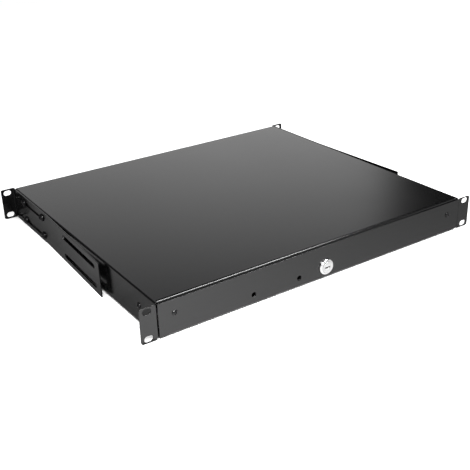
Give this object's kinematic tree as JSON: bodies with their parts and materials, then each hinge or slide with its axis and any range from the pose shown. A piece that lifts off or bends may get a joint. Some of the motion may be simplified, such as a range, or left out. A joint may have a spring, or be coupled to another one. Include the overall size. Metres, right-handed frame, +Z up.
{
  "type": "rack drawer",
  "caption": "One-unit 19-inch rack drawer: folded chassis with rack ears, sliding rear brackets, and a locking drawer on ball-bearing slides.",
  "frame": {"origin": "middle of the four front rack slots, on the rail plane, which is the back face of the front ears", "axes": "+X to the right as seen from the front, +Y rearwards into the rack, +Z up"},
  "size_m": [0.4826, 0.4067, 0.0431],
  "materials": {
    "powder_coat": "satin black powder coat",
    "black_screw": "black oxide",
    "zinc": "zinc-plated rolled steel",
    "bearing_steel": "polished",
    "lock_chrome": "polished chrome",
    "brass": "stamped brass"
  },
  "bodies": {
    "chassis": {"chassis_shell": "powder_coat", "rear_panel": "powder_coat", "rear_panel_screws": "black_screw", "left_outer_slide": "zinc", "right_outer_slide": "zinc", "slide_fixing_screws": "black_screw", "bracket_screws": "black_screw", "bracket_washers": "black_screw", "bracket_clinch_nuts": "zinc"},
    "left_bracket": {"left_rear_bracket": "powder_coat"},
    "right_bracket": {"right_rear_bracket": "powder_coat"},
    "drawer": {"drawer_tray": "powder_coat", "drawer_fascia": "powder_coat", "fascia_screws": "black_screw", "fascia_nuts": "zinc", "left_inner_slide": "zinc", "right_inner_slide": "zinc", "inner_slide_screws": "black_screw", "lock_housing": "lock_chrome", "lock_nut": "lock_chrome"},
    "left_middle": {"left_middle_slide": "zinc"},
    "right_middle": {"right_middle_slide": "zinc"},
    "left_outer_cage": {"left_outer_ball_cage": "zinc", "left_outer_balls": "bearing_steel"},
    "right_outer_cage": {"right_outer_ball_cage": "zinc", "right_outer_balls": "bearing_steel"},
    "left_inner_cage": {"left_inner_ball_cage": "zinc", "left_inner_balls": "bearing_steel"},
    "right_inner_cage": {"right_inner_ball_cage": "zinc", "right_inner_balls": "bearing_steel"},
    "lock": {"lock_plug": "lock_chrome", "lock_wafers": "brass", "lock_cam": "zinc", "lock_stop_washer": "zinc", "lock_cam_screw": "zinc"}
  },
  "joints": [
    {"name": "drawer_slide", "type": "slide", "parent": "chassis", "child": "drawer", "axis": [0, -1, 0], "range_m": [0, 0.285]},
    {"name": "left_middle_travel", "type": "slide", "parent": "chassis", "child": "left_middle", "axis": [0, -1, 0], "range_m": [0, 0.1425]},
    {"name": "right_middle_travel", "type": "slide", "parent": "chassis", "child": "right_middle", "axis": [0, -1, 0], "range_m": [0, 0.1425]},
    {"name": "left_outer_cage_travel", "type": "slide", "parent": "chassis", "child": "left_outer_cage", "axis": [0, -1, 0], "range_m": [0, 0.07125]},
    {"name": "right_outer_cage_travel", "type": "slide", "parent": "chassis", "child": "right_outer_cage", "axis": [0, -1, 0], "range_m": [0, 0.07125]},
    {"name": "left_inner_cage_travel", "type": "slide", "parent": "chassis", "child": "left_inner_cage", "axis": [0, -1, 0], "range_m": [0, 0.21375]},
    {"name": "right_inner_cage_travel", "type": "slide", "parent": "chassis", "child": "right_inner_cage", "axis": [0, -1, 0], "range_m": [0, 0.21375]},
    {"name": "left_bracket_slide", "type": "slide", "parent": "chassis", "child": "left_bracket", "axis": [0, 1, 0], "range_m": [-0.023, 0.0045]},
    {"name": "right_bracket_slide", "type": "slide", "parent": "chassis", "child": "right_bracket", "axis": [0, 1, 0], "range_m": [-0.023, 0.0045]},
    {"name": "lock_turn", "type": "hinge", "parent": "drawer", "child": "lock", "pos_m": [0, 0, -0.006], "axis": [0, -1, 0], "range_deg": [0, 90]}
  ],
  "couplings": [
    {"joint": "left_middle_travel", "follows": "drawer_slide", "ratio": 0.5},
    {"joint": "right_middle_travel", "follows": "drawer_slide", "ratio": 0.5},
    {"joint": "left_outer_cage_travel", "follows": "drawer_slide", "ratio": 0.25},
    {"joint": "right_outer_cage_travel", "follows": "drawer_slide", "ratio": 0.25},
    {"joint": "left_inner_cage_travel", "follows": "drawer_slide", "ratio": 0.75},
    {"joint": "right_inner_cage_travel", "follows": "drawer_slide", "ratio": 0.75}
  ]
}
